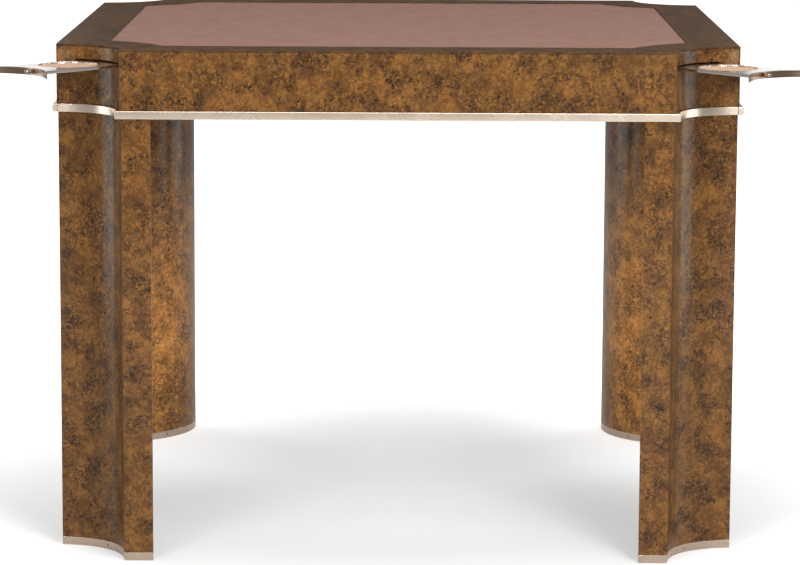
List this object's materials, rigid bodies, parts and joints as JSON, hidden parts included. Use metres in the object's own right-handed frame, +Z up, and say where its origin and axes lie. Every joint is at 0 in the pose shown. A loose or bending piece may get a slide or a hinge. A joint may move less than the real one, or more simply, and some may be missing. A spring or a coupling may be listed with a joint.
{
  "type": "gaming table",
  "caption": "Square gaming table with scooped corners, curved legs, a leather playing surface and a diagonal pull-out drink tray in each corner.",
  "frame": {"origin": "bottom centre of the whole table with its two front trays pulled out, on the floor; the table's own centre is 40 mm further back along +Y", "axes": "+Z up; the front, with its two pulled-out trays, faces -Y; +X to the right seen from the front"},
  "size_m": [1.1882, 1.108, 0.762],
  "materials": {
    "burl_lacquer": "golden-brown burl lacquer, satin gloss",
    "top_lacquer": "dark brown lacquered veneer, satin gloss",
    "playing_leather": "rose-brown leather, matt",
    "champagne_metal": "brushed champagne gold",
    "bronze_metal": "polished bronze",
    "polished_metal": "mirror polished",
    "tan_leather": "tan leather, matt",
    "steel": "zinc plated",
    "foot_pad": "black nylon",
    "plain_wood": "plain hardwood, unfinished"
  },
  "bodies": {
    "table": {"top_panel": "top_lacquer", "playing_leather": "playing_leather", "apron_rail_front": "burl_lacquer", "band_front": "champagne_metal", "apron_rail_right": "burl_lacquer", "band_right": "champagne_metal", "apron_rail_back": "burl_lacquer", "band_back": "champagne_metal", "apron_rail_left": "burl_lacquer", "band_left": "champagne_metal", "corner_apron_front_left": "burl_lacquer", "band_corner_front_left": "champagne_metal", "leg_front_left": "burl_lacquer", "foot_ferrule_front_left": "champagne_metal", "foot_pad_front_left": "foot_pad", "corner_block_front_left": "plain_wood", "leg_bolt_front_left": "steel", "tray_runners_front_left": "plain_wood", "corner_apron_front_right": "burl_lacquer", "band_corner_front_right": "champagne_metal", "leg_front_right": "burl_lacquer", "foot_ferrule_front_right": "champagne_metal", "foot_pad_front_right": "foot_pad", "corner_block_front_right": "plain_wood", "leg_bolt_front_right": "steel", "tray_runners_front_right": "plain_wood", "corner_apron_back_right": "burl_lacquer", "band_corner_back_right": "champagne_metal", "leg_back_right": "burl_lacquer", "foot_ferrule_back_right": "champagne_metal", "foot_pad_back_right": "foot_pad", "corner_block_back_right": "plain_wood", "leg_bolt_back_right": "steel", "tray_runners_back_right": "plain_wood", "corner_apron_back_left": "burl_lacquer", "band_corner_back_left": "champagne_metal", "leg_back_left": "burl_lacquer", "foot_ferrule_back_left": "champagne_metal", "foot_pad_back_left": "foot_pad", "corner_block_back_left": "plain_wood", "leg_bolt_back_left": "steel", "tray_runners_back_left": "plain_wood"},
    "tray_front_left": {"tray_plate_front_left": "polished_metal", "tray_lining_front_left": "tan_leather", "tray_front_front_left": "bronze_metal", "tray_knob_front_left": "bronze_metal"},
    "tray_front_right": {"tray_plate_front_right": "polished_metal", "tray_lining_front_right": "tan_leather", "tray_front_front_right": "bronze_metal", "tray_knob_front_right": "bronze_metal"},
    "tray_back_right": {"tray_plate_back_right": "polished_metal", "tray_lining_back_right": "tan_leather", "tray_front_back_right": "bronze_metal", "tray_knob_back_right": "bronze_metal"},
    "tray_back_left": {"tray_plate_back_left": "polished_metal", "tray_lining_back_left": "tan_leather", "tray_front_back_left": "bronze_metal", "tray_knob_back_left": "bronze_metal"}
  },
  "joints": [
    {"name": "tray_slide_front_left", "type": "slide", "parent": "table", "child": "tray_front_left", "axis": [-0.7071, -0.7071, -0.0087], "range_m": [-0.134, 0]},
    {"name": "tray_slide_front_right", "type": "slide", "parent": "table", "child": "tray_front_right", "axis": [0.7071, -0.7071, -0.0087], "range_m": [-0.134, 0]},
    {"name": "tray_slide_back_right", "type": "slide", "parent": "table", "child": "tray_back_right", "axis": [0.7071, 0.7071, -0.0087], "range_m": [0, 0.134]},
    {"name": "tray_slide_back_left", "type": "slide", "parent": "table", "child": "tray_back_left", "axis": [-0.7071, 0.7071, -0.0087], "range_m": [0, 0.134]}
  ]
}
